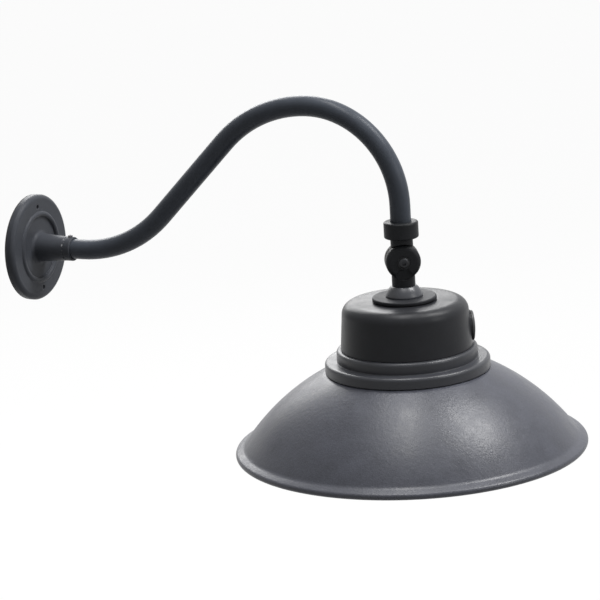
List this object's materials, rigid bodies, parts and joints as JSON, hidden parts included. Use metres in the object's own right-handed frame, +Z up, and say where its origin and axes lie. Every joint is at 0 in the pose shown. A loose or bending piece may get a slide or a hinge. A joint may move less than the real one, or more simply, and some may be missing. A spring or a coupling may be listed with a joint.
{
  "type": "gooseneck wall sconce",
  "caption": "Wall light with a round wall plate, a bent gooseneck tube, a knuckle swivel, a photocell housing and a wide spun dome shade.",
  "frame": {"origin": "centre of the wall plate's back face, on the wall", "axes": "+X out of the wall, +Z up; the arm lies in the plane y = 0 and the head hangs from its outer end, turned 30 degrees about the vertical"},
  "size_m": [0.622, 0.364, 0.3664],
  "materials": {
    "plate_coat": "fine-textured dark grey powder coat on a die casting",
    "arm_coat": "fine-textured dark grey powder coat on steel tube",
    "collar_coat": "matt near-black powder coat on steel",
    "swivel_coat": "matt near-black powder coat on a die casting",
    "cone_coat": "satin dark grey powder coat",
    "housing_coat": "satin dark grey powder coat on a die casting",
    "shade_coat": "fine-textured dark grey powder coat outside, white inside, on spun sheet",
    "dark_steel": "black oxide on steel",
    "bright_steel": "zinc-plated steel",
    "black_rubber": "black silicone rubber",
    "friction_fibre": "pressed fibre",
    "sensor_plastic": "black moulded plastic",
    "sensor_window": "dark translucent plastic",
    "driver_metal": "plain sheet",
    "board_white": "white solder mask on an aluminium-cored board",
    "chip_phosphor": "yellow phosphor under clear gel",
    "opal_lens": "opal diffusing plastic",
    "white_coat": "white powder coat"
  },
  "bodies": {
    "arm": {"wall_plate": "plate_coat", "plate_gasket": "black_rubber", "arm_set_screw": "dark_steel", "gooseneck_arm": "arm_coat", "collar_nut": "collar_coat", "arm_seal": "black_rubber"},
    "swivel": {"swivel_upper": "swivel_coat", "snap_ring": "bright_steel", "friction_ring": "friction_fibre", "pivot_bolt": "dark_steel", "pivot_washer": "dark_steel", "pivot_nut": "bright_steel"},
    "head": {"swivel_lower": "swivel_coat", "neck_cone": "cone_coat", "cap_plate": "housing_coat", "cap_gasket": "black_rubber", "stem_washer": "bright_steel", "stem_nut": "bright_steel", "housing": "housing_coat", "housing_screws": "bright_steel", "photocell_gasket": "black_rubber", "photocell_body": "sensor_plastic", "photocell_window": "sensor_window", "photocell_nut": "bright_steel", "stepped_base": "housing_coat", "driver_case": "driver_metal", "driver_lid": "driver_metal", "driver_screws": "bright_steel", "shade_gasket": "black_rubber", "shade": "shade_coat", "lamp_board": "board_white", "lamp_chips": "chip_phosphor", "board_screws": "bright_steel", "lens": "opal_lens", "lens_gasket": "black_rubber", "lens_ring": "white_coat", "ring_screws": "bright_steel"}
  },
  "joints": [
    {"name": "head_turn", "type": "hinge", "parent": "arm", "child": "swivel", "pos_m": [0.44, 0, 0.031], "axis": [0, 0, 1], "range_deg": [-120, 60]},
    {"name": "head_tilt", "type": "hinge", "parent": "swivel", "child": "head", "pos_m": [0.44, 0, 0.007], "axis": [0.5, -0.866, 0], "range_deg": [-45, 90]}
  ]
}
